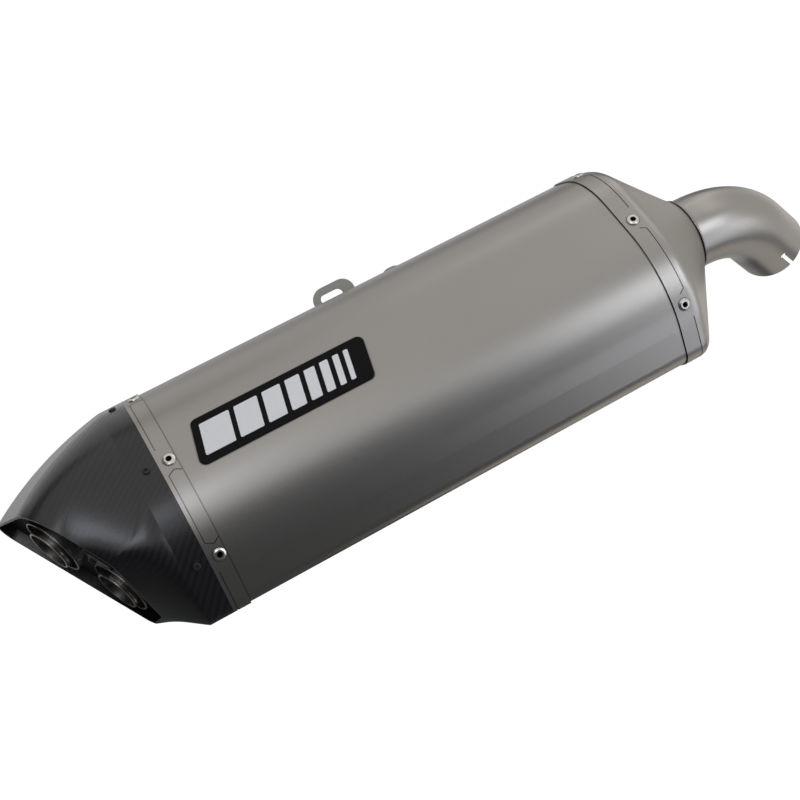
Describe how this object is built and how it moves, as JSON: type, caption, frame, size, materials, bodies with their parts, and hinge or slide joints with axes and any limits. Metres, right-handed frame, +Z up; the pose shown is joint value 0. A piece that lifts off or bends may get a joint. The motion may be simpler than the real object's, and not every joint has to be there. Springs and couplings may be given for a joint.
{
  "type": "motorcycle exhaust muffler",
  "caption": "Slip-on motorcycle muffler: long rounded six-sided canister, carbon end cap with slanted twin outlets, bent slip-joint inlet pipe, slotted hanger bracket.",
  "frame": {"origin": "centre of the inlet pipe's mouth", "axes": "+X runs along the canister's axis from the outlets towards the inlet, +Z is up the tall way of the canister's section, +Y is the wheel side, which carries the hanger bracket; the outer flank with the badge faces -Y"},
  "size_m": [0.7066, 0.1413, 0.1931],
  "materials": {
    "titanium_skin": "satin",
    "carbon": "clear-coated twill weave",
    "polished_steel": "polished",
    "black_steel": "matte black",
    "inner_steel": "as rolled",
    "steel_wool": "matted wire",
    "glass_wool": "loose mat",
    "bracket": "satin",
    "rivet": "bright",
    "badge_black": "gloss",
    "badge_light": "satin"
  },
  "bodies": {
    "root": {"outer_sleeve": "titanium_skin", "rear_band": "titanium_skin", "front_cap": "titanium_skin", "inlet_pipe": "titanium_skin", "inlet_weld": "titanium_skin", "end_cap": "carbon", "outlet_pipe_upper": "polished_steel", "outlet_pipe_lower": "polished_steel", "damper_insert_upper": "polished_steel", "damper_insert_lower": "polished_steel", "insert_clip": "polished_steel", "outlet_plate": "black_steel", "cap_screws": "black_steel", "clip_screw": "black_steel", "front_baffle": "inner_steel", "middle_baffle": "inner_steel", "rear_bulkhead": "inner_steel", "perforated_core": "inner_steel", "bracket_backing": "inner_steel", "core_wrap": "steel_wool", "absorption_packing": "glass_wool", "hanger_bracket": "bracket", "bracket_rivets": "rivet", "front_rivets": "rivet", "rear_rivets": "rivet", "badge_plate": "badge_black", "badge_bars": "badge_light"}
  },
  "joints": []
}
